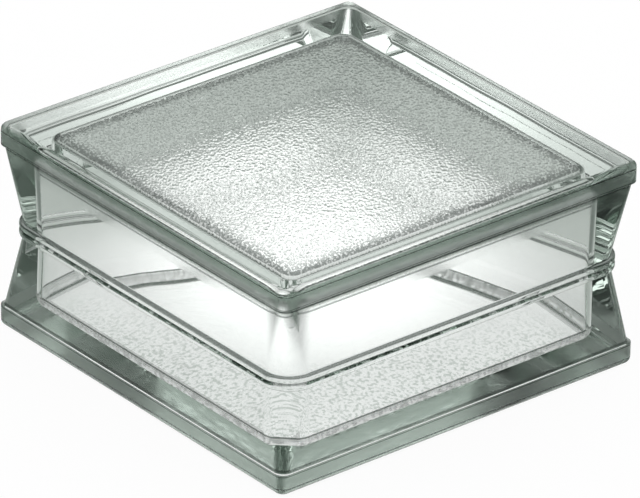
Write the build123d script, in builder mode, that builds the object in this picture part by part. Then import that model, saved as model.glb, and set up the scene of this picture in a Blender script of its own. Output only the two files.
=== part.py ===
"""Hollow pressed glass block, lying flat on one of its two faces.

Two like halves are pressed, then fused along a seam at mid-height. Each half has a square face with a
rim round it, a shoulder behind the rim and a flank that leans in to the seam, so that the four sides
of the block form a shallow groove for mortar. The fused seam stands out of the groove as a double bead.
The air between the halves is sealed in.
"""

import os

from build123d import *

# Overall size
side = 190.0
height = 95.0

# Rim round each face
rim_height = 8.8
rim_corner = 4.5
face_round = 1.2

# Shoulder behind the rim
shoulder_height = 1.0
shoulder_depth = 1.0
shoulder_corner = 5.0

# Flank that leans in from the shoulder to the seam
groove_depth = 4.6
groove_corner = 12.0

# Double bead of the fused seam
bead_height = 6.4
bead_depth = 1.9
bead_round = 1.4
crease_depth = 1.0

# Air space, with the draft of its walls in degrees
plate = 12.5
rim_wall = 14.5
wall_draft = 1.4
floor_corner = 7.0
floor_round = 4.5

# Places worked out from the sizes above
seam_level = height / 2
lip_height = bead_height / 2
lip_round = min(bead_round, 0.45 * lip_height)
lip_bevel = min(crease_depth, 0.45 * lip_height)
face_plane = Plane.XY
rim_plane = Plane.XY.offset(rim_height)
shoulder_plane = Plane.XY.offset(rim_height + shoulder_height)
floor_plane = Plane.XY.offset(plate)
wall_plane = Plane.XY.offset(plate + floor_round)
lip_plane = Plane.XY.offset(seam_level - lip_height)
seam_plane = Plane.XY.offset(seam_level)


def rounded_square(plane, inset, corner):
    """Square outline with round corners, set in from the sides of the block."""
    width = side - 2 * inset
    with BuildSketch(plane) as outline:
        RectangleRounded(width, width, corner)
    return outline.sketch


# Air space: a floor with a round edge, walls that widen from there to the seam, and the same above it
with BuildPart() as air_space:
    floor_outline = rounded_square(floor_plane, rim_wall, floor_corner)
    extrude(floor_outline, amount=seam_level - plate)
    floor_edges = air_space.faces().sort_by(Axis.Z)[0].edges()
    fillet(floor_edges, radius=floor_round)
    wall_outline = rounded_square(wall_plane, rim_wall, floor_corner)
    extrude(wall_outline, amount=seam_level - plate - floor_round, taper=-wall_draft)
    mirror(about=seam_plane)

# Lip of the lower half: it follows the groove's wall, round below and bevelled where it meets its twin
with BuildPart() as seam_lip:
    lip_outline = rounded_square(lip_plane, groove_depth - bead_depth, groove_corner + bead_depth)
    extrude(lip_outline, amount=lip_height)
    lip_faces = seam_lip.faces().filter_by(Axis.Z).sort_by(Axis.Z)
    fillet(lip_faces[0].edges(), radius=lip_round)
    meeting_face = seam_lip.faces().sort_by(Axis.Z)[-1]
    chamfer(meeting_face.edges(), length=lip_bevel)

# Glass: the lower half from its face up to the seam, its mirror image, and the air space taken out
with BuildPart() as glass_block:
    rim_outline = rounded_square(face_plane, 0, rim_corner)
    extrude(rim_outline, amount=rim_height)
    face_edges = glass_block.faces().sort_by(Axis.Z)[0].edges()
    fillet(face_edges, radius=face_round)

    rim_top = rounded_square(rim_plane, 0, rim_corner)
    shoulder_outline = rounded_square(shoulder_plane, shoulder_depth, shoulder_corner)
    loft([rim_top, shoulder_outline], ruled=True)

    groove_outline = rounded_square(lip_plane, groove_depth, groove_corner)
    loft([shoulder_outline, groove_outline], ruled=True)

    add(seam_lip.part)
    mirror(about=seam_plane)
    add(air_space.part, mode=Mode.SUBTRACT)

os.makedirs("parts", exist_ok=True)
glass_block.part.label = "glass_block"
export_step(glass_block.part, "parts/glass_block.step")
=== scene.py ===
from math import cos, radians, sin, tan

import bmesh
import bpy
from mathutils import Matrix, Vector


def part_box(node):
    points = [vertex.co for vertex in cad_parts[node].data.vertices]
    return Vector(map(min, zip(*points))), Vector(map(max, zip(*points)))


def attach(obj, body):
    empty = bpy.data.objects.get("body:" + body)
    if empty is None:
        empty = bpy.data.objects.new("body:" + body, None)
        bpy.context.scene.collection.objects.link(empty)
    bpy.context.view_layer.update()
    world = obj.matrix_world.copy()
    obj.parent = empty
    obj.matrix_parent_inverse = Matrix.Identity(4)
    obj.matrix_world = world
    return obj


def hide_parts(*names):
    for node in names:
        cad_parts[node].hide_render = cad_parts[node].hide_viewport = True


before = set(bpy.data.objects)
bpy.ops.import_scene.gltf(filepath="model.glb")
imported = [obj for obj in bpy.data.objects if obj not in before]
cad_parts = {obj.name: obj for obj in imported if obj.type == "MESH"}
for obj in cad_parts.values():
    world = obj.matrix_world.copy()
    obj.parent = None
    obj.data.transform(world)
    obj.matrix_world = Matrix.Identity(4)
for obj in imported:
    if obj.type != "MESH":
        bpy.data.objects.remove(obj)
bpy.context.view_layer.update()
mm = 0.001
samePlace = 0.01 * mm  # points closer than this count as one
white = (1, 1, 1, 1)
black = (0, 0, 0, 1)
low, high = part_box("glass_block")
side = high.x - low.x
height = high.z - low.z
seam = low.z + height / 2
print("frame loaded, side %.0f mm, height %.0f mm" % (side / mm, height / mm))


# shader maths

class Wire:  # one socket, so that node maths reads as sums
    def __init__(self, tree, socket):
        self.tree = tree
        self.socket = socket

    def maths(self, operation, first, second):
        return addNode(self.tree, "ShaderNodeMath", {"operation": operation}, {0: first, 1: second})

    def __add__(self, other):
        return self.maths("ADD", self, other)

    def __radd__(self, other):
        return self.maths("ADD", other, self)

    def __sub__(self, other):
        return self.maths("SUBTRACT", self, other)

    def __rsub__(self, other):
        return self.maths("SUBTRACT", other, self)

    def __mul__(self, other):
        return self.maths("MULTIPLY", self, other)

    def __rmul__(self, other):
        return self.maths("MULTIPLY", other, self)

    def __lt__(self, other):
        return self.maths("LESS_THAN", self, other)

    def __gt__(self, other):
        return self.maths("GREATER_THAN", self, other)

    def __abs__(self):
        return self.maths("ABSOLUTE", self, 0)

    def atLeast(self, other):
        return self.maths("MAXIMUM", self, other)


def addNode(tree, kind, settings=None, sockets=None, out=0):  # settings first, then values or links
    node = tree.nodes.new(kind)
    for name, value in (settings or {}).items():
        setattr(node, name, value)
    for name, value in (sockets or {}).items():
        if isinstance(value, Wire):
            tree.links.new(value.socket, node.inputs[name])
        else:
            node.inputs[name].default_value = value
    return Wire(tree, node.outputs[out]) if node.outputs else node


def newMaterial(name):
    material = bpy.data.materials.new(name)
    material.use_nodes = True
    material.node_tree.nodes.clear()
    return material, material.node_tree


def fade(tree, value, edge):  # 0 before the edge, 1 after it
    return addNode(tree, "ShaderNodeMapRange", {"interpolation_type": "SMOOTHSTEP"}, {
        "Value": value, "From Min": edge[0], "From Max": edge[1], "To Min": 0, "To Max": 1})


def band(tree, value, span, soft):  # 1 within the span
    start, end = span
    return fade(tree, value, (start, start + soft)) * (1 - fade(tree, value, (end - soft, end)))


def mixColour(tree, share, first, second):
    return addNode(tree, "ShaderNodeMix", {"data_type": "RGBA"}, {0: share, 6: first, 7: second}, out=2)


def noise(tree, place, scale, detail):
    return addNode(tree, "ShaderNodeTexNoise", {}, {"Vector": place, "Scale": scale, "Detail": detail})


def splitPlace(tree, place):
    return [addNode(tree, "ShaderNodeSeparateXYZ", {}, {0: place}, out=axis) for axis in "XYZ"]


def alongAxis(tree, place, axis):
    return addNode(tree, "ShaderNodeVectorMath", {"operation": "DOT_PRODUCT"},
                   {0: place, 1: axis}, out="Value")


# pressed glass; heights are from the seam, distances from the middle of the square

glassLook = {
    "ior": 1.52,
    "colour": (0.995, 1, 0.997, 1),
    "tint": (0.5, 0.64, 0.55, 1),
    "tintDensity": 5,
    "airReach": 84 * mm,  # the air space ends within this distance
    "waveSize": 45 * mm,  # slow waves of pressed glass
    "waveDepth": 0.25 * mm,
    "grainTurn": radians(-39.6),  # fine stipple over the modelled pebbles
    "grainSize": (0.9 * mm, 1.7 * mm, 10 * mm),
    "grainDepth": 0.14 * mm,
    "stippleFrom": 30.2 * mm,
    "stippleReach": 1.0 * mm,
    "lowerReach": 0.7 * mm,
    "shadeSpeckColour": (0.16, 0.17, 0.165, 1),  # painted shade: dark specks between the pebbles, denser at the panel's border, standing in for dark refraction in the stipple
    "shadeSpeckEdge": (0.38, 0.55),
    "shadeSpeckShare": (0.55, 1.0),
    "shadeSpeckSpread": 0.14,
    "shadeSpeckBorder": (69 * mm, 76 * mm),
    "stippleRoughness": 0.02,
    "bandRoughness": 0.3,  # rims
    "bandSpan": (38.0 * mm, 44.2 * mm),
    "flankRoughness": 0.18,  # flanks, next to the rims
    "flankFrom": (28.0 * mm, 30.0 * mm),
    "flankTo": 37.6 * mm,
    "footRoughness": (0.4, 0.9),  # round edges low in the air space, between and on the specks
    "shadeLineColour": (0.02, 0.03, 0.025, 1),
    "shadeLineSoft": 0.2 * mm,
    "edges": [  # painted shade: dark lines that stand in for dark refraction at the edges; heights, distances, how dark
        ((36.2 * mm, 37.5 * mm), (90 * mm, 96 * mm), 0.9),  # flank at the shoulder
        ((38.1 * mm, 38.8 * mm), (90 * mm, 96 * mm), 0.9),  # rim at the shoulder
        ((44.0 * mm, 44.7 * mm), (94 * mm, 96 * mm), 0.95),  # rim at its round edge
        ((2.6 * mm, 3.5 * mm), (86 * mm, 96 * mm), 0.9),  # bead at the groove
        ((-1.0 * mm, 0.6 * mm), (86 * mm, 96 * mm), 0.8),  # crease of the bead
        ((34.0 * mm, 35.3 * mm), (75.6 * mm, 79 * mm), 0.5),  # panel's border
        ((29.5 * mm, 30.5 * mm), (78 * mm, 84 * mm), 0.97),  # wall at its round edge
    ],
}


def makeGlass(name, panelLevel):
    look = glassLook
    material, tree = newMaterial(name)
    place = addNode(tree, "ShaderNodeTexCoord", out="Object")
    x, y, level = splitPlace(tree, place)
    fromSeam = abs(level - seam)
    fromMiddle = abs(x).atLeast(abs(y))
    inAir = fromMiddle < look["airReach"]
    outside = fromMiddle > look["airReach"]
    below = level < seam

    # inner faces with their round edges, and the flat parts of them
    onPanel = (fromSeam > look["stippleFrom"]) * (fromSeam < panelLevel + look["stippleReach"]) * inAir
    onUpper = (abs(level - seam - panelLevel) < look["stippleReach"]) * inAir
    onLower = below * (fromSeam > panelLevel - look["lowerReach"])

    # relief: the lower face is pressed in the mesh alone
    wave = noise(tree, place, 1 / look["waveSize"], 1.0)
    cells = addNode(tree, "ShaderNodeMapping", {"vector_type": "TEXTURE"}, {
        "Vector": place, "Rotation": (0, 0, look["grainTurn"]), "Scale": look["grainSize"]})
    grain = noise(tree, cells, 1.0, 0.0)
    relief = wave * look["waveDepth"] + grain * onPanel * (1 - onLower) * look["grainDepth"]
    normal = addNode(tree, "ShaderNodeBump", {}, {"Height": relief, "Strength": 1.0, "Distance": 1.0})

    # colour: painted shade, as dark specks between the pebbles and dark lines at the edges
    border = fade(tree, fromMiddle, look["shadeSpeckBorder"])
    least, most = look["shadeSpeckShare"]
    # painted shade: dark specks mixed into the glass colour on the upper inner face
    shadeSpecks = 1 - fade(tree, grain - border * look["shadeSpeckSpread"], look["shadeSpeckEdge"])
    shadeSpecks = shadeSpecks * onUpper * (least + border * (most - least))
    colour = mixColour(tree, shadeSpecks, look["colour"], look["shadeSpeckColour"])
    # painted shade: dark lines mixed into the glass colour along rims, shoulder, bead, panel border and
    # walls
    for heights, distances, share in look["edges"]:
        line = band(tree, fromSeam, heights, look["shadeLineSoft"])
        line = line * band(tree, fromMiddle, distances, look["shadeLineSoft"])
        colour = mixColour(tree, line * share, colour, look["shadeLineColour"])

    # roughness: rims, flanks next to them, and the low round edges inside
    bandStart, bandEnd = look["bandSpan"]
    onBand = (fromSeam > bandStart) * (fromSeam < bandEnd) * outside
    onFlank = fade(tree, fromSeam, look["flankFrom"]) * (fromSeam < look["flankTo"]) * outside
    onFoot = onPanel * below * (1 - onLower)
    smooth, coarse = look["footRoughness"]
    foot = smooth + (1 - fade(tree, grain, look["shadeSpeckEdge"])) * (coarse - smooth)
    roughness = onPanel * look["stippleRoughness"] + onBand * look["bandRoughness"]
    roughness = roughness + onFlank * look["flankRoughness"] + onFoot * foot

    glass = addNode(tree, "ShaderNodeBsdfPrincipled", {}, {
        "Base Color": colour, "Roughness": roughness, "IOR": look["ior"],
        "Transmission Weight": 1.0, "Normal": normal})
    tint = addNode(tree, "ShaderNodeVolumeAbsorption", {}, {
        "Color": look["tint"], "Density": look["tintDensity"]})
    addNode(tree, "ShaderNodeOutputMaterial", {}, {"Surface": glass, "Volume": tint})
    return material


# the block's skin and air space

block = {
    "cornerSteps": 12,
    "roundSteps": 6,
    "faceRound": 3.0 * mm,
    "rimCorner": 4.5 * mm,
    "edgeRound": 0.6 * mm,
    "shoulder": 1.0 * mm,
    "ledgeLevel": 9.7 * mm,
    "ledgeSlope": 0.1 * mm,
    "ledgeRound": 0.25 * mm,
    "shoulderCorner": 5.0 * mm,
    "grooveDepth": 4.6 * mm,
    "grooveCorner": 12.0 * mm,
    "lipHeight": 3.2 * mm,
    "lipDepth": 1.9 * mm,
    "lipRound": 1.1 * mm,
    "lipSlope": 0.1 * mm,
    "crease": 1.0 * mm,
    "plate": 12.5 * mm,
    "wall": 14.5 * mm,
    "wallDraft": radians(1.4),
    "floorCorner": 7 * mm,
    "floorRound": 4.5 * mm,
    "smoothAngle": radians(35),
    "flatWeight": 100,
}


# a profile's points hold the inset as x, the height as y and the plan radius as z

def softCorner(before, at, after, radius, steps):  # a round in place of one corner
    toBefore = (before - at) / (before - at).xy.length
    toAfter = (after - at) / (after - at).xy.length
    half = toBefore.xy.angle(toAfter.xy) / 2
    reach = radius / tan(half)
    start = at + toBefore * reach
    end = at + toAfter * reach
    pull = sin(half)
    points = []
    for step in range(steps + 1):
        t = step / steps
        a, b, c = (1 - t) ** 2, 2 * t * (1 - t) * pull, t ** 2
        points.append((start * a + at * b + end * c) / (a + b + c))
    return points


def softProfile(corners, steps):  # the first point only aims the first round, so it is left out
    points = []
    for before, at, after in zip(corners, corners[1:], corners[2:]):
        points += softCorner(Vector(before[:3]), Vector(at[:3]), Vector(after[:3]), at[3], steps)
    return points + [Vector(corners[-1][:3])]


def layRings(profile):  # a rounded square for each point, then a strip of faces between each two
    ringSize = 4 * (block["cornerSteps"] + 1)
    for point in profile:
        bpy.ops.mesh.select_all(action="DESELECT")
        bpy.ops.mesh.primitive_plane_add(size=side - 2 * point.x, location=(0, 0, point.y))
        bpy.ops.mesh.bevel(affect="VERTICES", offset=point.z, segments=block["cornerSteps"], profile=0.5)
        bpy.ops.mesh.delete(type="ONLY_FACE")
    mesh = bmesh.from_edit_mesh(bpy.context.object.data)
    mesh.verts.ensure_lookup_table()
    mesh.verts.index_update()
    pairs = [[vertex.index for vertex in edge.verts] for edge in mesh.edges]
    outline = [pair for pair in pairs if max(pair) < ringSize]
    for start in range(0, ringSize * (len(profile) - 1), ringSize):
        for one, two in outline:
            strip = (one, two, two + ringSize, one + ringSize)
            mesh.faces.new([mesh.verts[start + number] for number in strip])
    bmesh.update_edit_mesh(bpy.context.object.data)
    return ringSize


def pickVertices(test):  # select by place or number, in edit mode
    bpy.ops.mesh.select_mode(type="VERT")
    bpy.ops.mesh.select_all(action="DESELECT")
    bpy.ops.object.mode_set(mode="OBJECT")
    for vertex in bpy.context.object.data.vertices:
        vertex.select = test(vertex)
    bpy.ops.object.mode_set(mode="EDIT")


def startHalf(name):
    bpy.ops.object.select_all(action="DESELECT")
    bpy.ops.mesh.primitive_plane_add(size=side, location=(0, 0, seam))
    piece = bpy.context.object
    piece.name = name
    bpy.ops.object.mode_set(mode="EDIT")
    bpy.ops.mesh.delete(type="VERT")
    return piece


def mirrorHalf(piece):  # the upper half, merged along the seam
    bpy.ops.object.mode_set(mode="OBJECT")
    bpy.ops.object.modifier_add(type="MIRROR")
    mirror = piece.modifiers[-1]
    mirror.use_axis = (False, False, True)
    mirror.merge_threshold = samePlace
    bpy.ops.object.modifier_apply(modifier=mirror.name)
    bpy.ops.object.transform_apply(location=True, rotation=False, scale=False)


def faceNormals(inside):
    bpy.ops.object.mode_set(mode="EDIT")
    bpy.ops.mesh.select_all(action="SELECT")
    bpy.ops.mesh.normals_make_consistent(inside=inside)
    bpy.ops.object.mode_set(mode="OBJECT")


def makeSkin():
    b = block
    lipInset = b["grooveDepth"] - b["lipDepth"]
    lipCorner = b["grooveCorner"] + b["lipDepth"]
    lipLevel = seam - b["lipHeight"]
    corners = [
        (b["rimCorner"], low.z, 0),
        (0, low.z, b["rimCorner"], b["faceRound"]),
        (0, b["ledgeLevel"], b["rimCorner"], b["ledgeRound"]),
        (b["shoulder"], b["ledgeLevel"] + b["ledgeSlope"], b["shoulderCorner"], b["ledgeRound"]),
        (b["grooveDepth"], lipLevel + b["lipSlope"], b["grooveCorner"], b["edgeRound"]),
        (lipInset, lipLevel, lipCorner, b["lipRound"]),
        (lipInset, seam - b["crease"], lipCorner, b["edgeRound"]),
        (lipInset + b["crease"], seam, lipCorner - b["crease"]),
    ]
    skin = startHalf("block_skin")
    ringSize = layRings(softProfile(corners, b["roundSteps"]))
    pickVertices(lambda vertex: vertex.index < ringSize)
    bpy.ops.mesh.edge_face_add()  # the flat face
    mirrorHalf(skin)
    faceNormals(inside=False)
    return skin


stipple = {
    "upperCells": 270,
    "lowerCells": 110,
    "margin": 1.3 * mm,
    "ramp": 3.0 * mm,
    "rampSteps": 5,
    "pebble": 1.1 * mm,
    "upperDepth": 0.16 * mm,
    "lowerDepth": 0.12 * mm,
}


def makeAirSpace():
    b = block
    t = stipple
    widen = (seam - b["plate"]) * tan(b["wallDraft"])
    corners = [
        (b["wall"] + b["floorCorner"], b["plate"], 0),
        (b["wall"], b["plate"], b["floorCorner"], b["floorRound"]),
        (b["wall"] - widen, seam, b["floorCorner"] + widen),
    ]
    air = startHalf("air_space")
    layRings(softProfile(corners, b["roundSteps"]))
    mirrorHalf(air)
    layPanel(air, "lower_stipple", t["lowerCells"], b["plate"], t["lowerDepth"])
    layPanel(air, "upper_stipple", t["upperCells"], height - b["plate"], t["upperDepth"])
    faceNormals(inside=True)  # out of the glass, into the air
    return air


def layPanel(piece, name, cells, level, depth):  # a fine grid inside an end ring, joined to it and stippled
    t = stipple
    reach = side / 2 - block["wall"] - block["floorRound"] - t["margin"]
    corner = max(block["floorCorner"] - block["floorRound"] - t["margin"], 0)
    first = len(piece.data.vertices)
    bpy.ops.object.mode_set(mode="EDIT")
    bpy.ops.mesh.select_all(action="DESELECT")
    bpy.ops.mesh.primitive_grid_add(x_subdivisions=cells, y_subdivisions=cells,
                                    size=2 * reach, location=(0, 0, level))

    def pastCorner(vertex):  # cells outside the round corners go
        over = [max(abs(way) - reach + corner, 0) for way in vertex.co.xy]
        return vertex.index >= first and Vector(over).length > corner + samePlace

    pickVertices(pastCorner)
    bpy.ops.mesh.delete(type="VERT")
    bpy.ops.object.mode_set(mode="OBJECT")
    group = piece.vertex_groups.new(name=name)
    for step in range(1, t["rampSteps"] + 1):  # the press fades out at the panel's edge
        share = step / t["rampSteps"]
        inside = [vertex.index for vertex in piece.data.vertices[first:]
                  if max(abs(vertex.co.x), abs(vertex.co.y)) < reach - t["ramp"] * share]
        group.add(inside, share, "REPLACE")

    # join the grid's outline to the open ring at its level
    bpy.ops.object.mode_set(mode="EDIT")
    bpy.ops.mesh.select_all(action="DESELECT")
    bpy.ops.mesh.select_mode(type="EDGE")
    bpy.ops.mesh.select_non_manifold()
    bpy.ops.object.mode_set(mode="OBJECT")
    places = [vertex.co.z for vertex in piece.data.vertices]
    for edge in piece.data.edges:
        edge.select = edge.select and abs(places[edge.vertices[0]] - level) < samePlace
    bpy.ops.object.mode_set(mode="EDIT")
    bpy.ops.mesh.fill(use_beauty=True)
    bpy.ops.object.mode_set(mode="OBJECT")

    pebbles = bpy.data.textures.new(name, "CLOUDS")
    pebbles.noise_scale = t["pebble"]
    pebbles.noise_depth = 0
    bpy.ops.object.modifier_add(type="DISPLACE")
    press = piece.modifiers[-1]
    press.texture = pebbles
    press.texture_coords = "LOCAL"
    press.direction = "Z"
    press.vertex_group = name
    press.mid_level = 0.5
    press.strength = depth
    bpy.ops.object.modifier_apply(modifier=press.name)


def makeBlock():
    skin = makeSkin()
    air = makeAirSpace()
    bpy.ops.object.select_all(action="DESELECT")
    air.select_set(True)
    skin.select_set(True)
    bpy.context.view_layer.objects.active = skin
    bpy.ops.object.join()
    skin.name = "pressed_block"
    bpy.ops.object.shade_smooth_by_angle(angle=block["smoothAngle"])
    bpy.ops.object.modifier_add(type="WEIGHTED_NORMAL")  # wide flat walls stay flat up to their round edges
    flatten = skin.modifiers[-1]
    flatten.weight = block["flatWeight"]
    flatten.keep_sharp = True
    bpy.ops.object.modifier_apply(modifier=flatten.name)
    skin.data.materials.append(makeGlass("pressedGlass", seam - block["plate"]))
    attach(skin, "root")
    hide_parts("glass_block")
    print("block modelled, %d faces" % len(skin.data.polygons))


makeBlock()


# camera

cameraView = {
    "azimuth": radians(-39.62),
    "elevation": radians(28.04),
    "roll": radians(0.96),
    "distance": 4002 * mm,
    "aim": Vector((0, 0, 47 * mm)),
    "slide": Vector((1.53 * mm, -2.34 * mm, 0)),
    "lens": 540.3,
    "sensor": 36,
    "clipEnd": 50,
}


def makeCamera():
    v = cameraView
    turn = Matrix.Rotation(v["azimuth"], 4, "Z")
    tilt = Matrix.Rotation(radians(90) - v["elevation"], 4, "X")
    roll = Matrix.Rotation(v["roll"], 4, "Z")
    aim = Matrix.Translation(v["aim"])
    back = Matrix.Translation(v["slide"] + Vector((0, 0, v["distance"])))
    data = bpy.data.cameras.new("photo_view")
    data.lens = v["lens"]
    data.sensor_width = v["sensor"]
    data.clip_end = v["clipEnd"]
    camera = bpy.data.objects.new("photo_view", data)
    bpy.context.scene.collection.objects.link(camera)
    camera.matrix_world = aim @ turn @ tilt @ roll @ back
    bpy.context.scene.camera = camera


# studio: the camera sees white, and the glass sees these zones of floor and room, painted with light and
# shade on the floor

studio = {
    "floorSize": 12.0,
    "floorGap": 0.2 * mm,
    "shadowShare": 0.06,
    # painted light: a bright spot on the floor, brighter than white, seen only in and through the glass
    "spotCentre": (66.6 * mm, 77.3 * mm, 0),
    "spotSize": (75 * mm, 120 * mm, 1),
    "spotEdge": (0.2, 1.3),
    "lightPoolColour": (1.85, 1.85, 1.85, 1),
    "paleCentre": (-2.6 * mm, -3.1 * mm, 0),
    "paleSize": (140 * mm, 186 * mm, 1),
    "paleEdge": (0.6, 1.1),
    "paleColour": (1.0, 1.0, 1.0, 1),
    # painted shade: the floor past the pale zone is grey, seen only in and through the glass
    "greyCentre": (76.5 * mm, 92.4 * mm, 0),
    "greySize": (200 * mm, 160 * mm, 1),
    "greyEdge": (0.9, 1.5),
    "shadedFloorColour": (0.45, 0.49, 0.46, 1),
    # painted light and shade: grey caustic specks on the floor under the block, seen only in and through
    # the glass
    "speckSpotCentre": (47.8 * mm, 57.8 * mm, 0),
    "speckSpotSize": (160 * mm, 110 * mm, 1),
    "speckSpotEdge": (0.6, 1.1),
    "speckReach": (70 * mm, 84 * mm),
    "causticSpeckColour": (0.62, 0.66, 0.63, 1),
    "speckSize": 1.6 * mm,
    "speckEdge": (0.45, 0.65),
    "roomColour": (0.13, 0.16, 0.14, 1),
    "roomLevel": 0.4,
    "roomSlope": 0.3,
    "lamps": [  # straight behind the block: height, soft edge as cosines
        {"rise": radians(30), "edge": (0.88, 0.97), "colour": (0.52, 0.55, 0.53, 1)},
        {"rise": radians(48), "edge": (0.88, 0.97), "colour": (0.52, 0.55, 0.53, 1)},
    ],
    "bounces": 32,  # light runs along inside the walls
}


def rayKinds(tree):  # seen by the camera, seen in or through the glass
    path = tree.nodes.new("ShaderNodeLightPath")
    camera, glossy, through = (Wire(tree, path.outputs[name]) for name in
                               ("Is Camera Ray", "Is Glossy Ray", "Is Transmission Ray"))
    return camera, glossy.atLeast(through)


def pastSpot(tree, place, name):  # 0 in the spot, 1 past its edge
    spot = addNode(tree, "ShaderNodeMapping", {"vector_type": "TEXTURE"}, {
        "Vector": place, "Location": studio[name + "Centre"],
        "Rotation": (0, 0, cameraView["azimuth"]), "Scale": studio[name + "Size"]})
    radius = addNode(tree, "ShaderNodeVectorMath", {"operation": "LENGTH"}, {0: spot}, out="Value")
    return fade(tree, radius, studio[name + "Edge"])


def makeFloor():
    s = studio
    bpy.ops.object.select_all(action="DESELECT")
    bpy.ops.mesh.primitive_plane_add(size=s["floorSize"], location=(0, 0, low.z - s["floorGap"]))
    floor = bpy.context.object
    floor.name = "studio_floor"
    bpy.ops.object.transform_apply(location=True)
    material, tree = newMaterial("floorWhitePaintedLight")
    place = addNode(tree, "ShaderNodeTexCoord", out="Object")
    x, y = splitPlace(tree, place)[:2]
    # painted caustic shade: grey specks on the floor under the block, outside the speck spot
    under = 1 - fade(tree, abs(x).atLeast(abs(y)), s["speckReach"])
    specks = fade(tree, noise(tree, place, 1 / s["speckSize"], 1.0), s["speckEdge"])
    specks = specks * pastSpot(tree, place, "speckSpot") * under
    # painted light: the bright pool on the floor, set in the pale zone
    pool = mixColour(tree, pastSpot(tree, place, "spot"), s["lightPoolColour"], s["paleColour"])
    pool = mixColour(tree, specks, pool, s["causticSpeckColour"])
    # painted shade: the floor darkens to grey past the pale zone and to the room's colour further out
    around = mixColour(tree, pastSpot(tree, place, "grey"), s["shadedFloorColour"], s["roomColour"])
    pool = mixColour(tree, pastSpot(tree, place, "pale"), pool, around)
    camera, seen = rayKinds(tree)
    colour = mixColour(tree, camera, pool, white)
    glow = addNode(tree, "ShaderNodeEmission", {}, {"Color": colour, "Strength": 1.0})
    matt = addNode(tree, "ShaderNodeBsdfDiffuse", {}, {"Color": white})
    share = camera.atLeast(seen) * (1 - s["shadowShare"])
    mixed = addNode(tree, "ShaderNodeMixShader", {}, {0: share, 1: matt, 2: glow})
    addNode(tree, "ShaderNodeOutputMaterial", {}, {"Surface": mixed})
    floor.data.materials.append(material)


def makeWorld():
    s = studio
    world = bpy.data.worlds.new("studio_world")
    bpy.context.scene.world = world
    world.use_nodes = True
    tree = world.node_tree
    tree.nodes.clear()
    heading = cameraView["azimuth"]
    place = addNode(tree, "ShaderNodeTexCoord", out="Generated")
    across = alongAxis(tree, place, (cos(heading), sin(heading), 0))
    room = mixColour(tree, s["roomLevel"] + across * s["roomSlope"], black, s["roomColour"])
    for lamp in s["lamps"]:
        flat = cos(lamp["rise"])
        nearness = alongAxis(tree, place, (-sin(heading) * flat, cos(heading) * flat, sin(lamp["rise"])))
        room = mixColour(tree, fade(tree, nearness, lamp["edge"]), room, lamp["colour"])
    seen = rayKinds(tree)[1]
    colour = mixColour(tree, seen, white, room)
    light = addNode(tree, "ShaderNodeBackground", {}, {"Color": colour, "Strength": 1.0})
    addNode(tree, "ShaderNodeOutputWorld", {}, {"Surface": light})


makeFloor()
makeWorld()
makeCamera()
scene = bpy.context.scene
scene.view_settings.view_transform = "Standard"
scene.cycles.max_bounces = studio["bounces"]
scene.cycles.glossy_bounces = studio["bounces"]
scene.cycles.transmission_bounces = studio["bounces"]
print("studio set")
